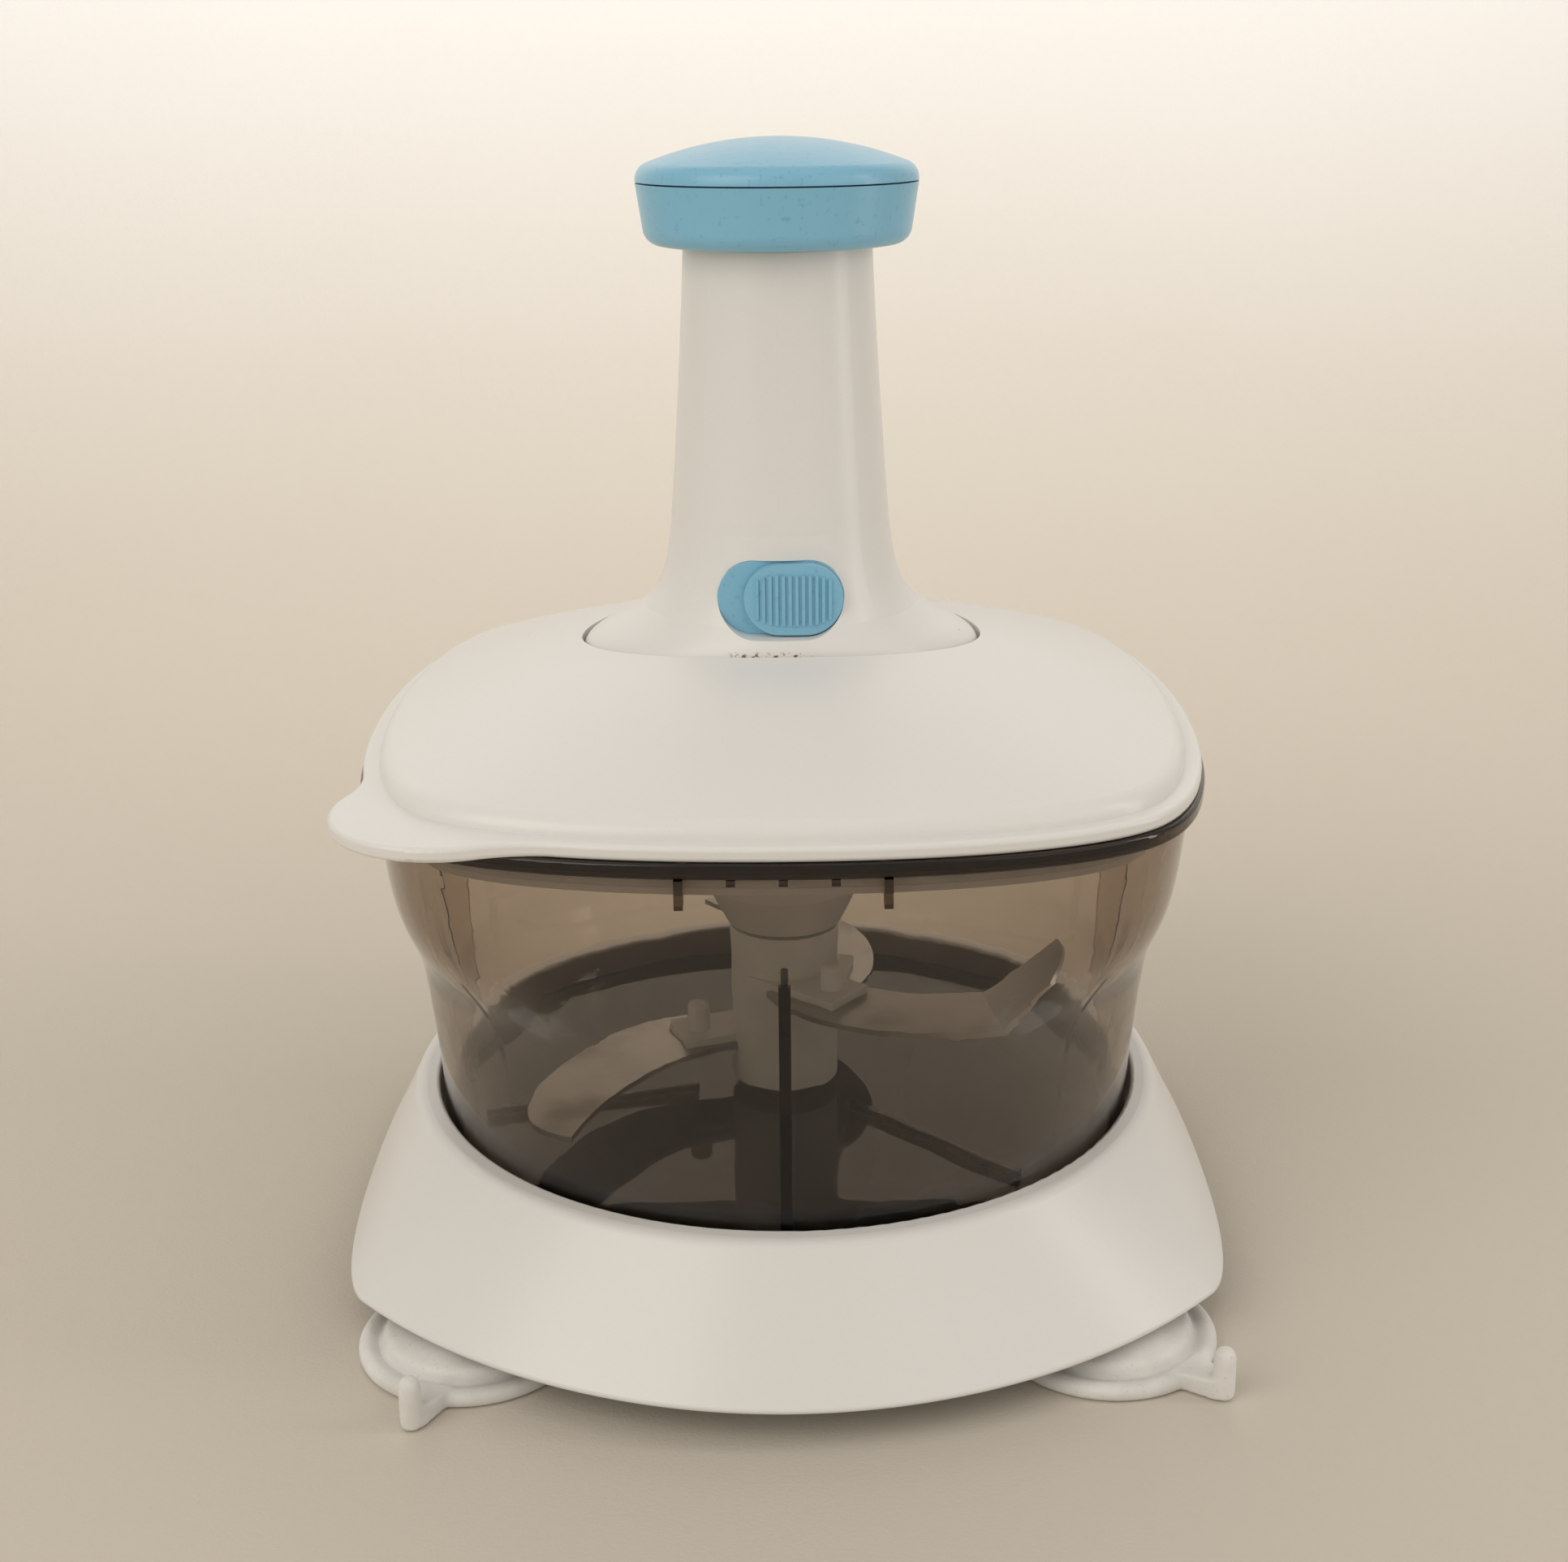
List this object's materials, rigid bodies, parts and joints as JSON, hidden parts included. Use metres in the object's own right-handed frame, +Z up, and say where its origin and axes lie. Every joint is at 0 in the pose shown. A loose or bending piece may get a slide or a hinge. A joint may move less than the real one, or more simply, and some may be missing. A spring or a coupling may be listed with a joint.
{
  "type": "hand press food chopper",
  "caption": "Hand-press food chopper: a palm knob on a column pumps down and spins sickle blades in a smoked square bowl on a suction-cup base.",
  "frame": {"origin": "on the table under the column's axis, at the middle of the part's box", "axes": "+Z up along the column, -Y towards the lock switch at the front, +X to the right seen from the front"},
  "size_m": [0.185, 0.1962, 0.2292],
  "materials": {
    "white_plastic": "moulded white plastic with a satin gloss",
    "smoked_plastic": "clear plastic with a brown grey smoke tint, polished",
    "blue_plastic": "moulded light blue plastic with a satin gloss",
    "milky_plastic": "milky white moulded plastic, smooth",
    "blade_steel": "stamped sheet steel with a ground edge",
    "turned_steel": "bright drawn and turned steel",
    "silicone": "milky see-through soft silicone"
  },
  "bodies": {
    "base": {"base_shell": "white_plastic"},
    "bowl": {"bowl": "smoked_plastic", "blade_pivot_pin": "turned_steel"},
    "blades": {"blade_hub": "milky_plastic", "blade_lower": "blade_steel", "blade_middle": "blade_steel", "blade_upper": "blade_steel"},
    "lid": {"lid": "white_plastic", "lid_gasket": "silicone", "lid_inner_cover": "white_plastic", "column_housing": "white_plastic", "lock_insert": "blue_plastic", "spindle_bearing": "milky_plastic", "column_screws": "turned_steel", "cover_screws": "turned_steel", "return_spring": "turned_steel"},
    "plunger": {"plunger_tube": "white_plastic", "drive_nut": "milky_plastic", "knob_body": "blue_plastic", "knob_cap": "blue_plastic", "knob_screws": "turned_steel"},
    "spindle": {"drive_spindle": "turned_steel", "spindle_clip": "turned_steel", "drive_dog": "milky_plastic"},
    "lock": {"lock_slider": "blue_plastic"},
    "cup_front_left": {"suction_cup_front_left": "silicone"},
    "cup_front_right": {"suction_cup_front_right": "silicone"},
    "cup_rear_right": {"suction_cup_rear_right": "silicone"},
    "cup_rear_left": {"suction_cup_rear_left": "silicone"}
  },
  "joints": [
    {"name": "bowl_lift", "type": "slide", "parent": "base", "child": "bowl", "axis": [0, 0, 1], "range_m": [0, 0.1]},
    {"name": "blades_turn", "type": "hinge", "parent": "bowl", "child": "blades", "pos_m": [0, 0, 0.04], "axis": [0, 0, 1], "range_deg": [0, 331]},
    {"name": "lid_lift", "type": "slide", "parent": "bowl", "child": "lid", "axis": [0, 0, 1], "range_m": [0, 0.12]},
    {"name": "knob_press", "type": "slide", "parent": "lid", "child": "plunger", "axis": [0, 0, 1], "range_m": [0, 0.055], "deforming": ["return_spring"]},
    {"name": "spindle_turn", "type": "hinge", "parent": "lid", "child": "spindle", "pos_m": [0, 0, 0.13], "axis": [0, 0, 1], "range_deg": [0, 331]},
    {"name": "lock_slide", "type": "slide", "parent": "lid", "child": "lock", "axis": [-1, 0, 0], "range_m": [0, 0.005]},
    {"name": "cup_turn_front_left", "type": "hinge", "parent": "base", "child": "cup_front_left", "pos_m": [-0.063, -0.0615, 0], "axis": [0, 0, 1], "range_deg": [-75, 20]},
    {"name": "cup_turn_front_right", "type": "hinge", "parent": "base", "child": "cup_front_right", "pos_m": [0.063, -0.0615, 0], "axis": [0, 0, 1], "range_deg": [-48, 48]},
    {"name": "cup_turn_rear_right", "type": "hinge", "parent": "base", "child": "cup_rear_right", "pos_m": [0.063, 0.0615, 0], "axis": [0, 0, 1], "range_deg": [-75, 20]},
    {"name": "cup_turn_rear_left", "type": "hinge", "parent": "base", "child": "cup_rear_left", "pos_m": [-0.063, 0.0615, 0], "axis": [0, 0, 1], "range_deg": [-48, 48]}
  ],
  "couplings": [
    {"joint": "spindle_turn", "follows": "knob_press", "rad_per_m": 104.72},
    {"joint": "blades_turn", "follows": "knob_press", "rad_per_m": 104.72}
  ]
}
